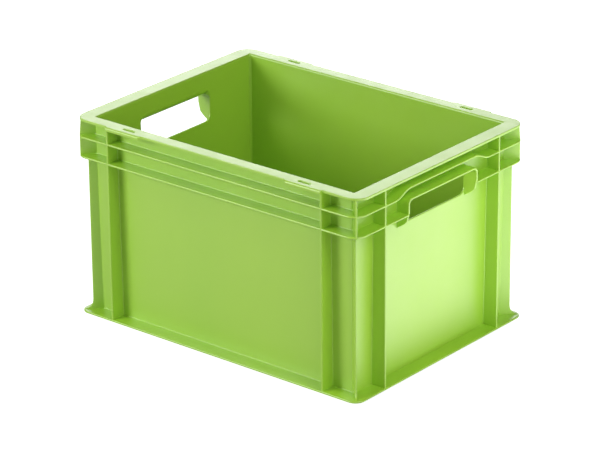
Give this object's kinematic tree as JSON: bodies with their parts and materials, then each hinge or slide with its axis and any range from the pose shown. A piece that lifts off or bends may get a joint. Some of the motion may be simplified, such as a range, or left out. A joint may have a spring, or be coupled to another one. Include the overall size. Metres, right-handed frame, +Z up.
{
  "type": "stacking plastic crate",
  "caption": "Open-topped rectangular stacking crate with thin drafted walls, flat rim, ribbed upper edge, base flange, corner fins and a hooded hand-hold in each end wall.",
  "frame": {"origin": "centre of the crate's footprint, on the plane that the foot stands on", "axes": "+X along the long side, towards one hand-hold; +Y along the short side; +Z up through the open top"},
  "size_m": [0.4, 0.3, 0.24],
  "materials": {
    "crate_plastic": "injection-moulded polypropylene, opaque apple green, satin with a very fine mould texture"
  },
  "bodies": {
    "root": {"floor_panel": "crate_plastic", "front_foot": "crate_plastic", "right_foot": "crate_plastic", "back_foot": "crate_plastic", "left_foot": "crate_plastic", "front_base_flange": "crate_plastic", "right_base_flange": "crate_plastic", "back_base_flange": "crate_plastic", "left_base_flange": "crate_plastic", "front_wall": "crate_plastic", "right_end_wall": "crate_plastic", "back_wall": "crate_plastic", "left_end_wall": "crate_plastic", "front_lower_rib": "crate_plastic", "right_lower_rib": "crate_plastic", "back_lower_rib": "crate_plastic", "left_lower_rib": "crate_plastic", "front_upper_rib": "crate_plastic", "right_upper_rib": "crate_plastic", "back_upper_rib": "crate_plastic", "left_upper_rib": "crate_plastic", "front_upright_left": "crate_plastic", "front_upright_right": "crate_plastic", "back_upright_left": "crate_plastic", "back_upright_right": "crate_plastic", "right_upright_front": "crate_plastic", "right_upright_back": "crate_plastic", "left_upright_front": "crate_plastic", "left_upright_back": "crate_plastic", "corner_fin_front_left": "crate_plastic", "corner_fin_front_right": "crate_plastic", "corner_fin_back_right": "crate_plastic", "corner_fin_back_left": "crate_plastic", "right_grip_hood": "crate_plastic", "left_grip_hood": "crate_plastic", "front_rim": "crate_plastic", "right_rim": "crate_plastic", "back_rim": "crate_plastic", "left_rim": "crate_plastic"}
  },
  "joints": []
}
